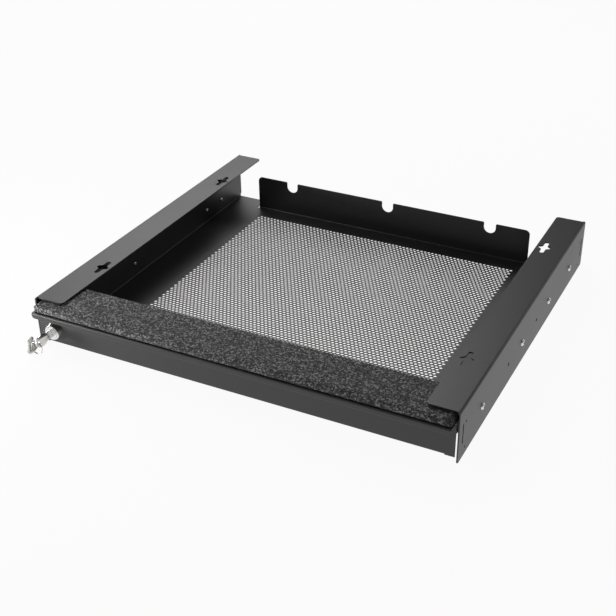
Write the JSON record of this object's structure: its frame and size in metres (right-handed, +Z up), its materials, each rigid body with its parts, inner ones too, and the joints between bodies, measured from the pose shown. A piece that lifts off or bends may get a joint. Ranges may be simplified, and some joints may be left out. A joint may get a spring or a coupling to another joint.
{
  "type": "under desk laptop drawer",
  "caption": "Shallow black steel drawer on side brackets under a desk, with a perforated tray on ball slides, a foam wrist rest on its front shelf, and a keyed cam lock.",
  "frame": {"origin": "middle of the four desk screw positions, on the plane of the bracket flanges' tops, which meet the desk", "axes": "X across the drawer, +Y to the rear, +Z up into the desk"},
  "size_m": [0.5159, 0.4835, 0.06],
  "materials": {
    "black_steel": "matt black powder coat on sheet steel",
    "zinc_steel": "bright zinc plate",
    "cage_steel": "plain strip steel",
    "ball_steel": "polished steel balls",
    "black_rubber": "moulded rubber",
    "screw_steel": "nickel plated screw steel",
    "grey_foam": "speckled dark grey closed cell foam",
    "lock_chrome": "bright chrome plate",
    "key_nickel": "nickel plated brass",
    "ring_steel": "nickel plated spring wire"
  },
  "bodies": {
    "brackets": {"left_bracket": "black_steel", "right_bracket": "black_steel", "left_outer_slide": "zinc_steel", "right_outer_slide": "zinc_steel", "bracket_screws": "screw_steel", "slide_bumpers": "black_rubber"},
    "outer_cages": {"left_outer_ball_cage": "cage_steel", "right_outer_ball_cage": "cage_steel", "outer_balls": "ball_steel"},
    "middle_slides": {"left_middle_slide": "zinc_steel", "right_middle_slide": "zinc_steel"},
    "inner_cages": {"left_inner_ball_cage": "cage_steel", "right_inner_ball_cage": "cage_steel", "inner_balls": "ball_steel"},
    "drawer": {"tray_floor": "black_steel", "tray_left_side": "black_steel", "tray_right_side": "black_steel", "tray_rear_wall": "black_steel", "front_panel": "black_steel", "front_panel_lock_end": "black_steel", "wrist_rest_shelf": "black_steel", "wrist_pad": "grey_foam", "left_inner_slide": "zinc_steel", "right_inner_slide": "zinc_steel", "tray_screws": "screw_steel", "lock_housing": "lock_chrome", "lock_nut": "screw_steel"},
    "lock_plug": {"lock_plug": "lock_chrome", "lock_cam": "zinc_steel", "cam_screw": "screw_steel"},
    "key": {"key": "key_nickel"},
    "key_ring": {"key_ring": "ring_steel"},
    "spare_key": {"spare_key": "key_nickel"}
  },
  "joints": [
    {"name": "drawer_slide", "type": "slide", "parent": "brackets", "child": "drawer", "axis": [0, -1, 0], "range_m": [0, 0.4]},
    {"name": "outer_cage_roll", "type": "slide", "parent": "brackets", "child": "outer_cages", "axis": [0, -1, 0], "range_m": [0, 0.1]},
    {"name": "middle_slide", "type": "slide", "parent": "brackets", "child": "middle_slides", "axis": [0, -1, 0], "range_m": [0, 0.2]},
    {"name": "inner_cage_roll", "type": "slide", "parent": "brackets", "child": "inner_cages", "axis": [0, -1, 0], "range_m": [0, 0.3]},
    {"name": "lock_turn", "type": "hinge", "parent": "drawer", "child": "lock_plug", "pos_m": [-0.22704, -0.2323, -0.03646], "axis": [0, -1, 0], "range_deg": [0, 90]},
    {"name": "key_pull", "type": "slide", "parent": "lock_plug", "child": "key", "axis": [0, -1, 0], "range_m": [0, 0.03]},
    {"name": "ring_swing", "type": "hinge", "parent": "key", "child": "key_ring", "pos_m": [-0.22704, -0.2545, -0.03646], "axis": [1, 0, 0], "range_deg": [-90, 30]},
    {"name": "spare_key_swing", "type": "hinge", "parent": "key_ring", "child": "spare_key", "pos_m": [-0.23673, -0.25389, -0.04894], "axis": [-0.5171, -0.3572, 0.7779], "range_deg": [-10, 150]}
  ],
  "couplings": [
    {"joint": "outer_cage_roll", "follows": "drawer_slide", "ratio": 0.25},
    {"joint": "middle_slide", "follows": "drawer_slide", "ratio": 0.5},
    {"joint": "inner_cage_roll", "follows": "drawer_slide", "ratio": 0.75}
  ]
}
